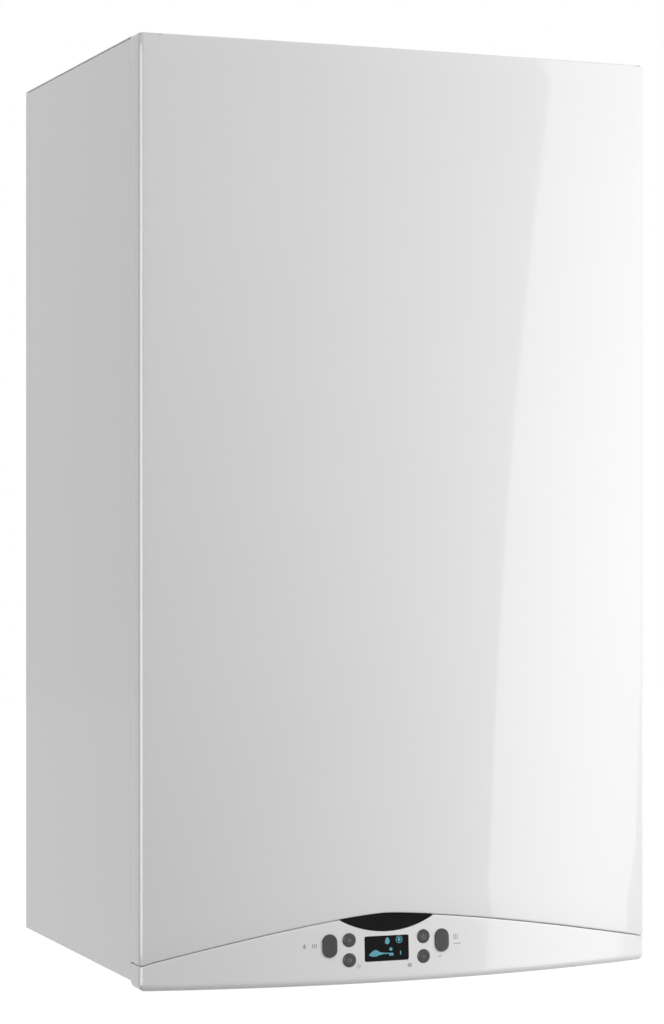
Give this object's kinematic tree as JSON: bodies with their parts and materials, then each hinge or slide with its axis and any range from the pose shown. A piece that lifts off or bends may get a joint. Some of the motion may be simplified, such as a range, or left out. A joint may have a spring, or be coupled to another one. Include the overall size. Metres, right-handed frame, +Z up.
{
  "type": "combi boiler",
  "caption": "Wall-hung condensing combi boiler: bowed removable cover, tilting control fascia with display and keys, flue collar on top and pipe stubs below.",
  "frame": {"origin": "centre of the wall bracket's back face, on the wall plane, 690 mm above the lower edge of the case", "axes": "+Z up, +Y into the wall, -Y towards the room, +X to the right as seen from the room"},
  "size_m": [0.44, 0.36, 0.778],
  "materials": {
    "case_paint": "white gloss powder coat",
    "galvanised": "zinc-coated sheet",
    "seal": "foam rubber",
    "fascia": "white moulded plastic",
    "badge": "black gloss",
    "window": "black translucent window",
    "circuit_board": "glass-epoxy board with soldered parts",
    "keypad": "silicone rubber",
    "keys": "dark grey satin",
    "box": "dark moulded plastic",
    "steel": "stainless or bright steel",
    "copper": "drawn copper tube",
    "brass": "machined brass",
    "cast": "die-cast, unpainted",
    "ceramic": "glazed insulator",
    "red_paint": "red powder coat",
    "red_plastic": "red moulded",
    "blue_plastic": "blue moulded",
    "grey_plastic": "grey moulded",
    "caps": "rubber plug"
  },
  "bodies": {
    "case": {"wall_bracket": "galvanised", "back_frame": "galvanised", "side_panel_left": "case_paint", "side_panel_right": "case_paint", "top_panel": "case_paint", "cover_seal": "seal", "mid_frame": "galvanised", "connection_rail": "galvanised", "hinge_bracket_left": "galvanised", "hinge_bracket_right": "galvanised", "hinge_pin_left": "steel", "hinge_pin_right": "steel", "exchanger_shell": "steel", "exchanger_coil": "steel", "burner_door": "cast", "burner_tube": "steel", "ignition_electrode": "ceramic", "fan_housing": "cast", "fan_motor": "box", "gas_mixer": "box", "air_silencer": "box", "gas_valve": "cast", "gas_pipe": "copper", "gas_feed_pipe": "copper", "flue_pipe": "steel", "flue_collar": "grey_plastic", "expansion_vessel": "red_paint", "vessel_pipe": "copper", "flow_block": "brass", "return_block": "brass", "plate_heat_exchanger": "steel", "circulation_pump": "box", "automatic_air_vent": "brass", "diverter_motor": "grey_plastic", "flow_pipe": "copper", "return_pipe": "copper", "condensate_trap": "grey_plastic"},
    "cover": {"front_cover": "case_paint"},
    "control_unit": {"control_fascia": "fascia", "badge_insert": "badge", "display_window": "window", "display_board": "circuit_board", "keypad": "keypad", "control_box": "box", "control_box_lid": "box", "main_circuit_board": "circuit_board", "cable_grommet": "seal"},
    "button_lower_left": {"button_lower_left": "keys"},
    "button_upper_left": {"button_upper_left": "keys"},
    "button_lower_right": {"button_lower_right": "keys"},
    "button_upper_right": {"button_upper_right": "keys"},
    "rocker_left": {"rocker_left": "keys"},
    "rocker_right": {"rocker_right": "keys"},
    "fan_impeller": {"fan_impeller": "box"},
    "flue_test_cap": {"flue_test_cap": "caps"},
    "air_test_cap": {"air_test_cap": "caps"},
    "safety_valve_knob": {"safety_valve_knob": "red_plastic"},
    "filling_tap_knob": {"filling_tap_knob": "blue_plastic"},
    "siphon_cup": {"siphon_cup": "box"}
  },
  "joints": [
    {"name": "cover_removal", "type": "slide", "parent": "case", "child": "cover", "axis": [0, -1, 0], "range_m": [0, 0.4]},
    {"name": "control_unit_tilt", "type": "hinge", "parent": "case", "child": "control_unit", "pos_m": [0, -0.194, -0.674], "axis": [1, 0, 0], "range_deg": [0, 85]},
    {"name": "button_lower_left_press", "type": "slide", "parent": "control_unit", "child": "button_lower_left", "axis": [0, 1, 0], "range_m": [0, 0.001], "stiffness_N_per_m": 1500},
    {"name": "button_upper_left_press", "type": "slide", "parent": "control_unit", "child": "button_upper_left", "axis": [0, 1, 0], "range_m": [0, 0.001], "stiffness_N_per_m": 1500},
    {"name": "button_lower_right_press", "type": "slide", "parent": "control_unit", "child": "button_lower_right", "axis": [0, 1, 0], "range_m": [0, 0.001], "stiffness_N_per_m": 1500},
    {"name": "button_upper_right_press", "type": "slide", "parent": "control_unit", "child": "button_upper_right", "axis": [0, 1, 0], "range_m": [0, 0.001], "stiffness_N_per_m": 1500},
    {"name": "rocker_left_rock", "type": "hinge", "parent": "control_unit", "child": "rocker_left", "pos_m": [-0.0715, -0.35426, -0.6585], "axis": [1, 0, 0], "range_deg": [-3.5, 3.5], "stiffness_Nm_per_rad": 0.2},
    {"name": "rocker_right_rock", "type": "hinge", "parent": "control_unit", "child": "rocker_right", "pos_m": [0.0235, -0.35695, -0.6585], "axis": [1, 0, 0], "range_deg": [-3.5, 3.5], "stiffness_Nm_per_rad": 0.2},
    {"name": "fan_spin", "type": "hinge", "parent": "case", "child": "fan_impeller", "pos_m": [0, -0.25, -0.4], "axis": [0, 1, 0], "continuous": true},
    {"name": "flue_test_cap_pull", "type": "slide", "parent": "case", "child": "flue_test_cap", "axis": [0, 0, 1], "range_m": [0, 0.015]},
    {"name": "air_test_cap_pull", "type": "slide", "parent": "case", "child": "air_test_cap", "axis": [0, 0, 1], "range_m": [0, 0.015]},
    {"name": "safety_valve_turn", "type": "hinge", "parent": "case", "child": "safety_valve_knob", "pos_m": [0.1683, -0.085, -0.6182], "axis": [1, 0, 0], "range_deg": [0, 90]},
    {"name": "filling_tap_turn", "type": "hinge", "parent": "case", "child": "filling_tap_knob", "pos_m": [0.0975, -0.085, -0.6633], "axis": [0, 0, 1], "range_deg": [0, 180]},
    {"name": "siphon_cup_turn", "type": "hinge", "parent": "case", "child": "siphon_cup", "pos_m": [-0.06, -0.19, -0.525], "axis": [0, 0, 1], "range_deg": [0, 90]}
  ]
}
